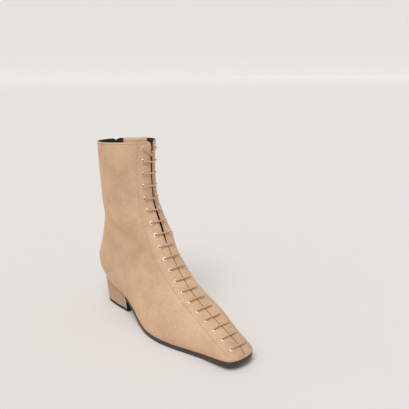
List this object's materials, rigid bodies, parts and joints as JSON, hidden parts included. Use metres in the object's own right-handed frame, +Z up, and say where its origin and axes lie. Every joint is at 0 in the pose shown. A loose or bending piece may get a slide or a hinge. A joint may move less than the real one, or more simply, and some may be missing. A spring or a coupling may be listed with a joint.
{
  "type": "lace up ankle boot",
  "caption": "Right-foot lace up ankle boot: beige suede upper laced from the squared toe to the collar, side zip, thin dark sole and a low wrapped heel.",
  "frame": {"origin": "on the floor under the middle of the boot's bounding box", "axes": "+Z up, toe towards -Y, medial side and zip towards +X, so this is a right boot"},
  "size_m": [0.0832, 0.2861, 0.2445],
  "materials": {
    "suede": "napped, matt beige suede",
    "lace": "round matt lace, orange tan",
    "sole": "dark brown, lightly polished edge",
    "rubber": "black, matt",
    "lining": "dark, smooth lining leather",
    "nickel": "polished nickel",
    "tape": "woven taupe zip tape"
  },
  "bodies": {
    "boot": {"eyelet_lateral_01": "nickel", "eyelet_lateral_02": "nickel", "eyelet_lateral_03": "nickel", "eyelet_lateral_04": "nickel", "eyelet_lateral_05": "nickel", "eyelet_lateral_06": "nickel", "eyelet_lateral_07": "nickel", "eyelet_lateral_08": "nickel", "eyelet_lateral_09": "nickel", "eyelet_lateral_10": "nickel", "eyelet_lateral_11": "nickel", "eyelet_lateral_12": "nickel", "eyelet_lateral_13": "nickel", "eyelet_lateral_14": "nickel", "eyelet_lateral_15": "nickel", "eyelet_lateral_16": "nickel", "eyelet_lateral_17": "nickel", "eyelet_lateral_18": "nickel", "eyelet_lateral_19": "nickel", "eyelet_medial_01": "nickel", "eyelet_medial_02": "nickel", "eyelet_medial_03": "nickel", "eyelet_medial_04": "nickel", "eyelet_medial_05": "nickel", "eyelet_medial_06": "nickel", "eyelet_medial_07": "nickel", "eyelet_medial_08": "nickel", "eyelet_medial_09": "nickel", "eyelet_medial_10": "nickel", "eyelet_medial_11": "nickel", "eyelet_medial_12": "nickel", "eyelet_medial_13": "nickel", "eyelet_medial_14": "nickel", "eyelet_medial_15": "nickel", "eyelet_medial_16": "nickel", "eyelet_medial_17": "nickel", "eyelet_medial_18": "nickel", "eyelet_medial_19": "nickel", "heel_block": "suede", "heel_top_piece": "rubber", "insole": "lining", "lace": "lace", "lace_end_lateral": "lace", "lace_end_medial": "lace", "outsole": "sole", "tongue": "suede", "upper": "suede", "zip_slider": "nickel", "zip_tape": "tape"},
    "pull_tab": {"zip_pull": "nickel"}
  },
  "joints": [
    {"name": "pull_hinge", "type": "hinge", "parent": "boot", "child": "pull_tab", "pos_m": [0.03914, 0.09203, 0.22354], "axis": [0.1845, -0.9717, 0.1474], "range_deg": [0, 150]}
  ]
}
